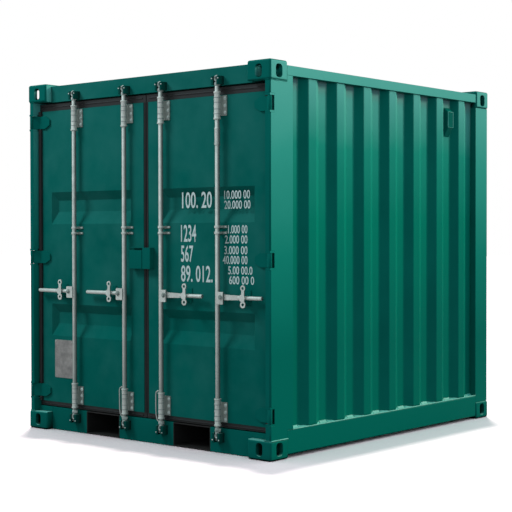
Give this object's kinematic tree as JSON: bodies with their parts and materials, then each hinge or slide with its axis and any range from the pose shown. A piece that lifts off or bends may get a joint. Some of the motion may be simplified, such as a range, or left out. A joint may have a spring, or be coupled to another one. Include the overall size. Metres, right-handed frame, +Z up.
{
  "type": "storage container",
  "caption": "Short steel storage container with corrugated walls, corner castings, fork pockets and double doors closed by turning lock bars with lifting handles.",
  "frame": {"origin": "middle of the box's base, on the ground under the corner castings", "axes": "+X to the right seen from the door end, +Y from the door end to the closed end, +Z up"},
  "size_m": [2.134, 2.438, 2.32],
  "materials": {
    "green_paint": "semi-gloss sea green paint",
    "galvanised_steel": "dull zinc",
    "black_rubber": "matt",
    "black_paint": "matt dark underbody coating",
    "plywood": "worn ply boards"
  },
  "bodies": {
    "container": {"bottom_castings": "green_paint", "top_castings": "green_paint", "door_post_left": "green_paint", "door_post_right": "green_paint", "front_posts": "green_paint", "bottom_side_rails": "green_paint", "top_side_rails": "green_paint", "door_header": "green_paint", "door_sill": "green_paint", "front_top_rail": "green_paint", "front_bottom_rail": "green_paint", "cross_members": "green_paint", "fork_tunnels": "black_paint", "floor_boards": "plywood", "side_wall_left": "green_paint", "side_wall_right": "green_paint", "front_wall": "green_paint", "roof": "green_paint", "vents": "green_paint", "hinge_lugs": "green_paint", "keepers": "green_paint"},
    "left_door": {"left_door_stiles": "green_paint", "left_door_rails": "green_paint", "left_door_panel": "green_paint", "left_door_gasket": "black_rubber", "left_hinge_straps": "green_paint", "left_bar_guides": "galvanised_steel", "left_handle_retainers": "green_paint", "left_lock_box": "green_paint"},
    "right_door": {"right_door_stiles": "green_paint", "right_door_rails": "green_paint", "right_door_panel": "green_paint", "right_door_gasket": "black_rubber", "right_hinge_straps": "green_paint", "right_bar_guides": "galvanised_steel", "right_handle_retainers": "green_paint", "right_lock_box": "green_paint"},
    "bar_1": {"lock_bar_1": "galvanised_steel"},
    "lever_1": {"handle_1": "galvanised_steel"},
    "bar_2": {"lock_bar_2": "galvanised_steel"},
    "lever_2": {"handle_2": "galvanised_steel"},
    "bar_3": {"lock_bar_3": "galvanised_steel"},
    "lever_3": {"handle_3": "galvanised_steel"},
    "bar_4": {"lock_bar_4": "galvanised_steel"},
    "lever_4": {"handle_4": "galvanised_steel"}
  },
  "joints": [
    {"name": "left_door_hinge", "type": "hinge", "parent": "container", "child": "left_door", "pos_m": [-1.051, -1.203, 1.16], "axis": [0, 0, -1], "range_deg": [0, 250]},
    {"name": "right_door_hinge", "type": "hinge", "parent": "container", "child": "right_door", "pos_m": [1.051, -1.203, 1.16], "axis": [0, 0, 1], "range_deg": [0, 250]},
    {"name": "bar_1_turn", "type": "hinge", "parent": "left_door", "child": "bar_1", "pos_m": [-0.63503, -1.193, 1.16], "axis": [0, 0, -1], "range_deg": [-90, 0]},
    {"name": "handle_1_lift", "type": "hinge", "parent": "bar_1", "child": "lever_1", "pos_m": [-0.67503, -1.194, 0.9371], "axis": [0, 1, 0], "range_deg": [0, 20]},
    {"name": "bar_2_turn", "type": "hinge", "parent": "left_door", "child": "bar_2", "pos_m": [-0.16304, -1.193, 1.16], "axis": [0, 0, -1], "range_deg": [-90, 0]},
    {"name": "handle_2_lift", "type": "hinge", "parent": "bar_2", "child": "lever_2", "pos_m": [-0.20304, -1.194, 0.9371], "axis": [0, 1, 0], "range_deg": [0, 20]},
    {"name": "bar_3_turn", "type": "hinge", "parent": "right_door", "child": "bar_3", "pos_m": [0.16304, -1.193, 1.16], "axis": [0, 0, 1], "range_deg": [-90, 0]},
    {"name": "handle_3_lift", "type": "hinge", "parent": "bar_3", "child": "lever_3", "pos_m": [0.20304, -1.194, 0.9371], "axis": [0, -1, 0], "range_deg": [0, 20]},
    {"name": "bar_4_turn", "type": "hinge", "parent": "right_door", "child": "bar_4", "pos_m": [0.63503, -1.193, 1.16], "axis": [0, 0, 1], "range_deg": [-90, 0]},
    {"name": "handle_4_lift", "type": "hinge", "parent": "bar_4", "child": "lever_4", "pos_m": [0.67503, -1.194, 0.9371], "axis": [0, -1, 0], "range_deg": [0, 20]}
  ]
}
